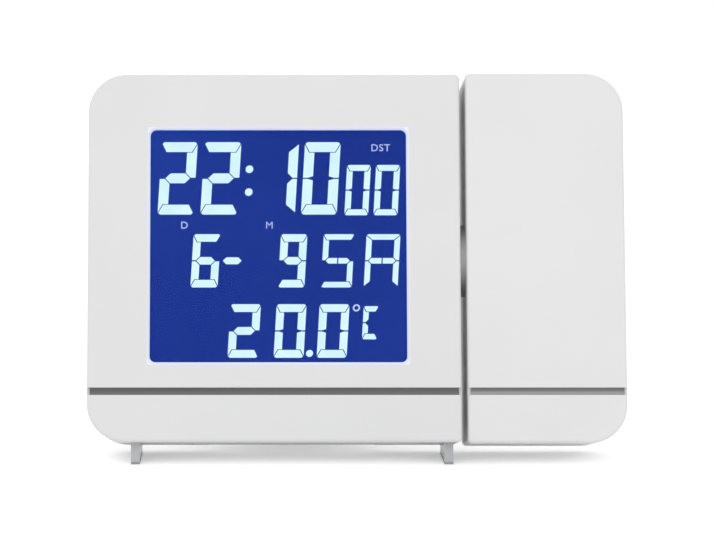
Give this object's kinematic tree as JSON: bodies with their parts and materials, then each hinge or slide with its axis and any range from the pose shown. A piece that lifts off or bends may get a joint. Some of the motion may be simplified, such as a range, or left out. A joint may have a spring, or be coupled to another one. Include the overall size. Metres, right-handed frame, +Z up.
{
  "type": "projection alarm clock",
  "caption": "Desk alarm clock with a large display and a side arm that swivels to project the time onto a wall or ceiling.",
  "frame": {"origin": "centre of the bounding box on the table the clock stands on", "axes": "+X runs along the clock to the projector arm, +Y from the display to the back, +Z up; the case leans back about X"},
  "size_m": [0.16, 0.0512, 0.1149],
  "materials": {
    "housing_plastic": "fine satin",
    "arm_plastic": "fine satin",
    "inner_plastic": "matte",
    "key_plastic": "satin",
    "foot_plastic": "satin",
    "clear_window": "gloss",
    "display_blue": "lit display",
    "guide_plastic": "gloss",
    "strip_rubber": "matte",
    "lamp_body": "matte",
    "board": "satin",
    "steel": "bright",
    "contact_steel": "bright",
    "cell_jacket": "gloss",
    "hub_plastic": "satin",
    "black_plastic": "matte",
    "pad_rubber": "matte",
    "ferrite": "matte",
    "copper": "lacquered",
    "band": "satin",
    "bush_plastic": "satin",
    "lens_glass": "clear",
    "cable_jacket": "matte"
  },
  "bodies": {
    "case": {"front_shell": "housing_plastic", "rear_shell": "housing_plastic", "display_window": "clear_window", "lcd_glass": "display_blue", "light_guide": "guide_plastic", "display_frame": "inner_plastic", "contact_strips": "strip_rubber", "backlight_lamps": "lamp_body", "main_board": "board", "board_screws": "steel", "case_screws": "steel", "key_board_screws": "steel", "battery_cells": "cell_jacket", "contact_plates": "contact_steel", "contact_springs": "contact_steel", "stand_pin": "steel", "foot_left": "foot_plastic", "foot_right": "foot_plastic", "foot_pads": "pad_rubber", "snooze_switch": "black_plastic", "key_board": "board", "key_switches": "black_plastic", "antenna_rod": "ferrite", "antenna_coil": "copper", "buzzer": "black_plastic", "power_inlet": "steel", "temperature_sensor": "black_plastic", "swivel_bush": "bush_plastic", "case_band": "band", "cable_connector": "bush_plastic"},
    "arm": {"arm_front_shell": "arm_plastic", "arm_rear_shell": "arm_plastic", "arm_screws": "steel", "swivel_shaft": "steel", "swivel_washer": "hub_plastic", "retaining_ring": "steel", "swivel_cable": "cable_jacket", "optic_tube": "black_plastic", "image_slide": "lens_glass", "condenser_lens": "lens_glass", "projector_lamp": "lamp_body", "projector_board": "board", "lens_cover": "lens_glass", "flip_board": "board", "arm_band": "band"},
    "lens_group": {"lens_barrel": "black_plastic", "projection_lens": "lens_glass"},
    "focus_wheel": {"focus_wheel": "black_plastic"},
    "flip_key": {"flip_key": "key_plastic"},
    "battery_door": {"battery_door": "housing_plastic"},
    "stand": {"stand": "housing_plastic", "stand_pad": "pad_rubber"},
    "snooze_key": {"snooze_key": "housing_plastic"},
    "alarm_slider": {"alarm_slider": "key_plastic"},
    "beam_slider": {"beam_slider": "key_plastic"},
    "set_key": {"set_key": "key_plastic"},
    "up_key": {"up_key": "key_plastic"},
    "down_key": {"down_key": "key_plastic"},
    "alarm_key": {"alarm_key": "key_plastic"},
    "light_key": {"light_key": "key_plastic"}
  },
  "joints": [
    {"name": "arm_swivel", "type": "hinge", "parent": "case", "child": "arm", "pos_m": [0.0328, -0.00163, 0.05828], "axis": [1, 0, 0], "range_deg": [-90, 90]},
    {"name": "stand_fold", "type": "hinge", "parent": "case", "child": "stand", "pos_m": [-0.0192, 0.00767, 0.04915], "axis": [1, 0, 0], "range_deg": [-30, 0]},
    {"name": "door_open", "type": "hinge", "parent": "case", "child": "battery_door", "pos_m": [-0.0405, 0.01003, 0.05545], "axis": [-1, 0, 0], "range_deg": [0, 75]},
    {"name": "snooze_press", "type": "slide", "parent": "case", "child": "snooze_key", "axis": [0, -0.2079, -0.9781], "range_m": [0, 0.001], "stiffness_N_per_m": 600, "springref_m": -0.0005},
    {"name": "lens_focus", "type": "slide", "parent": "arm", "child": "lens_group", "axis": [0, 0.2079, 0.9781], "range_m": [0, 0.0025]},
    {"name": "focus_turn", "type": "hinge", "parent": "arm", "child": "focus_wheel", "pos_m": [0.0564, 0.00615, 0.08526], "axis": [0, 0.2079, 0.9781], "range_deg": [0, 300]},
    {"name": "flip_press", "type": "slide", "parent": "arm", "child": "flip_key", "axis": [0, -0.9781, 0.2079], "range_m": [0, 0.0007], "stiffness_N_per_m": 500, "springref_m": -0.0004},
    {"name": "set_key_press", "type": "slide", "parent": "case", "child": "set_key", "axis": [0, -0.9781, 0.2079], "range_m": [0, 0.0007], "stiffness_N_per_m": 500, "springref_m": -0.0004},
    {"name": "up_key_press", "type": "slide", "parent": "case", "child": "up_key", "axis": [0, -0.9781, 0.2079], "range_m": [0, 0.0007], "stiffness_N_per_m": 500, "springref_m": -0.0004},
    {"name": "down_key_press", "type": "slide", "parent": "case", "child": "down_key", "axis": [0, -0.9781, 0.2079], "range_m": [0, 0.0007], "stiffness_N_per_m": 500, "springref_m": -0.0004},
    {"name": "alarm_key_press", "type": "slide", "parent": "case", "child": "alarm_key", "axis": [0, -0.9781, 0.2079], "range_m": [0, 0.0007], "stiffness_N_per_m": 500, "springref_m": -0.0004},
    {"name": "light_key_press", "type": "slide", "parent": "case", "child": "light_key", "axis": [0, -0.9781, 0.2079], "range_m": [0, 0.0007], "stiffness_N_per_m": 500, "springref_m": -0.0004},
    {"name": "alarm_slider_move", "type": "slide", "parent": "case", "child": "alarm_slider", "axis": [1, 0, 0], "range_m": [0, 0.003]},
    {"name": "beam_slider_move", "type": "slide", "parent": "case", "child": "beam_slider", "axis": [1, 0, 0], "range_m": [0, 0.003]}
  ],
  "couplings": [
    {"joint": "focus_turn", "follows": "lens_focus", "rad_per_m": 2094.4}
  ]
}
